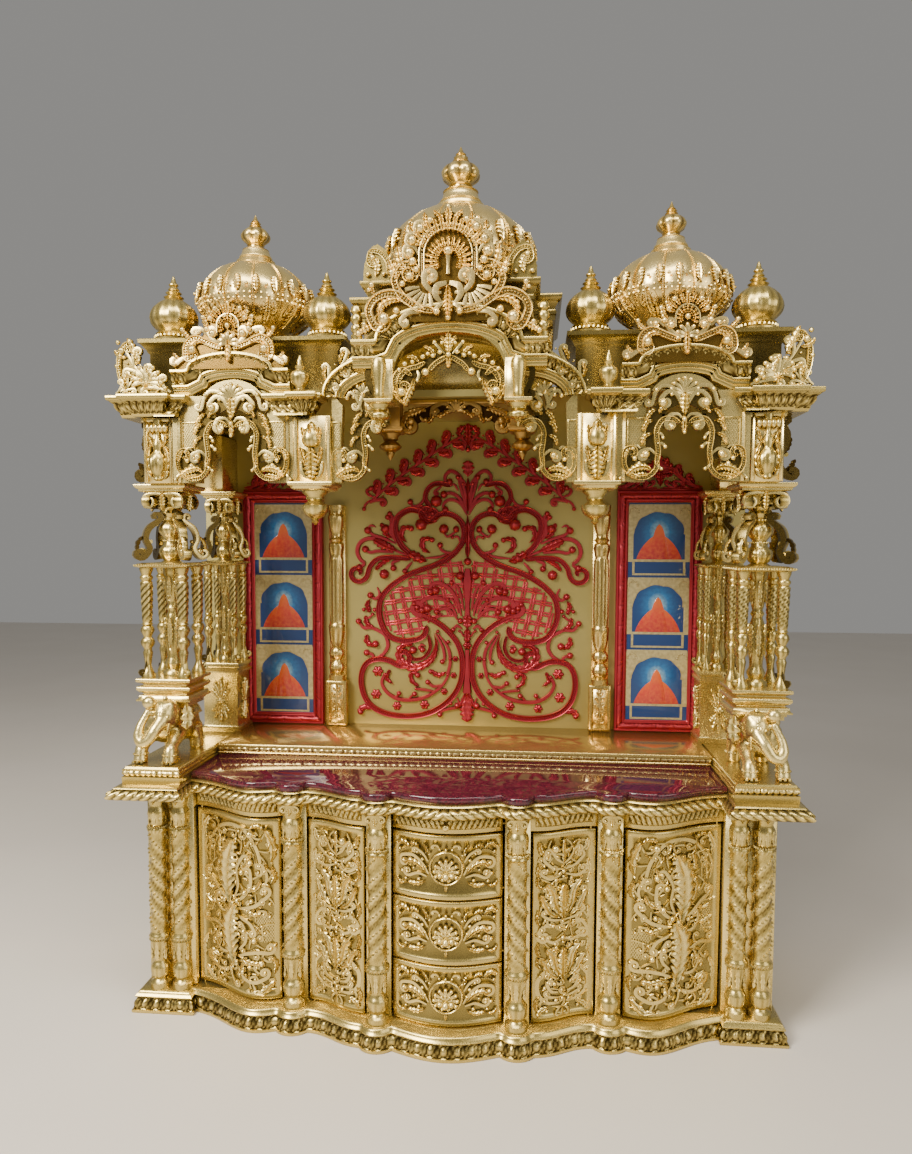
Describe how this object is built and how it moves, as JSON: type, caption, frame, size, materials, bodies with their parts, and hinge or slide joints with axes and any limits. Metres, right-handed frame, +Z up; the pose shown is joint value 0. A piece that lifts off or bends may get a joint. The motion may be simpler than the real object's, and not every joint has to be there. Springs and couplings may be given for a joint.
{
  "type": "pooja mandir",
  "caption": "Carved gold home temple with a granite counter, a niche with a red scroll panel, elephants, arches and domes over a cabinet with doors and drawers",
  "frame": {"origin": "on the floor under the middle of the plinth's footprint", "axes": "+X to the object's left as one faces out of it, which is the viewer's right; -Y is the front; +Z up"},
  "size_m": [1.57, 0.6235, 2.04],
  "materials": {
    "satin_gold_paint": "satin metallic gold paint on carved wood",
    "pale_gold_paint": "pale satin gold paint on flat boards",
    "cream_gold_paint": "cream gold paint",
    "crimson_metallic_paint": "crimson metallic paint on carved wood",
    "maroon_granite": "polished maroon granite",
    "blue_picture_panel": "blue and orange panel behind glass"
  },
  "bodies": {
    "cabinet": {"plinth": "satin_gold_paint", "cabinet_back": "pale_gold_paint", "counter_frame": "satin_gold_paint", "granite_top": "maroon_granite", "niche_step": "pale_gold_paint", "back_wall": "cream_gold_paint", "red_scroll_panel": "crimson_metallic_paint", "red_crest": "crimson_metallic_paint", "left_pier": "satin_gold_paint", "left_outer_stile": "satin_gold_paint", "left_inner_stile": "satin_gold_paint", "left_ledge": "satin_gold_paint", "left_elephant": "satin_gold_paint", "left_front_column": "satin_gold_paint", "left_rear_column": "satin_gold_paint", "left_picture_frame": "crimson_metallic_paint", "left_picture_panel": "blue_picture_panel", "left_pilaster": "satin_gold_paint", "left_corner_cornice": "satin_gold_paint", "left_outer_post": "satin_gold_paint", "left_side_arch": "satin_gold_paint", "left_quarter_arch": "satin_gold_paint", "left_attic": "pale_gold_paint", "left_side_crest": "satin_gold_paint", "left_dome": "satin_gold_paint", "right_pier": "satin_gold_paint", "right_outer_stile": "satin_gold_paint", "right_inner_stile": "satin_gold_paint", "right_ledge": "satin_gold_paint", "right_elephant": "satin_gold_paint", "right_front_column": "satin_gold_paint", "right_rear_column": "satin_gold_paint", "right_picture_frame": "crimson_metallic_paint", "right_picture_panel": "blue_picture_panel", "right_pilaster": "satin_gold_paint", "right_corner_cornice": "satin_gold_paint", "right_outer_post": "satin_gold_paint", "right_side_arch": "satin_gold_paint", "right_quarter_arch": "satin_gold_paint", "right_attic": "pale_gold_paint", "right_side_crest": "satin_gold_paint", "right_dome": "satin_gold_paint", "centre_canopy": "satin_gold_paint", "inner_arch": "satin_gold_paint", "ceiling_board": "pale_gold_paint", "centre_attic": "pale_gold_paint", "centre_crest": "satin_gold_paint", "centre_dome": "satin_gold_paint"},
    "left_outer_door": {"left_outer_door": "satin_gold_paint"},
    "left_inner_door": {"left_inner_door": "satin_gold_paint"},
    "right_outer_door": {"right_outer_door": "satin_gold_paint"},
    "right_inner_door": {"right_inner_door": "satin_gold_paint"},
    "lower_drawer": {"lower_drawer": "satin_gold_paint"},
    "middle_drawer": {"middle_drawer": "satin_gold_paint"},
    "upper_drawer": {"upper_drawer": "satin_gold_paint"},
    "frieze_drawer": {"frieze_drawer": "satin_gold_paint"}
  },
  "joints": [
    {"name": "left_outer_door_hinge", "type": "hinge", "parent": "cabinet", "child": "left_outer_door", "pos_m": [-0.597, -0.11332, 0.055], "axis": [0, 0, -1], "range_deg": [0, 90]},
    {"name": "left_inner_door_hinge", "type": "hinge", "parent": "cabinet", "child": "left_inner_door", "pos_m": [-0.313, -0.17166, 0.055], "axis": [0, 0, -1], "range_deg": [0, 90]},
    {"name": "right_outer_door_hinge", "type": "hinge", "parent": "cabinet", "child": "right_outer_door", "pos_m": [0.597, -0.11332, 0.055], "axis": [0, 0, 1], "range_deg": [0, 90]},
    {"name": "right_inner_door_hinge", "type": "hinge", "parent": "cabinet", "child": "right_inner_door", "pos_m": [0.313, -0.17166, 0.055], "axis": [0, 0, 1], "range_deg": [0, 90]},
    {"name": "lower_drawer_slide", "type": "slide", "parent": "cabinet", "child": "lower_drawer", "axis": [0, -1, 0], "range_m": [0, 0.3]},
    {"name": "middle_drawer_slide", "type": "slide", "parent": "cabinet", "child": "middle_drawer", "axis": [0, -1, 0], "range_m": [0, 0.3]},
    {"name": "upper_drawer_slide", "type": "slide", "parent": "cabinet", "child": "upper_drawer", "axis": [0, -1, 0], "range_m": [0, 0.3]},
    {"name": "frieze_drawer_slide", "type": "slide", "parent": "cabinet", "child": "frieze_drawer", "axis": [0, -1, 0], "range_m": [0, 0.3]}
  ]
}
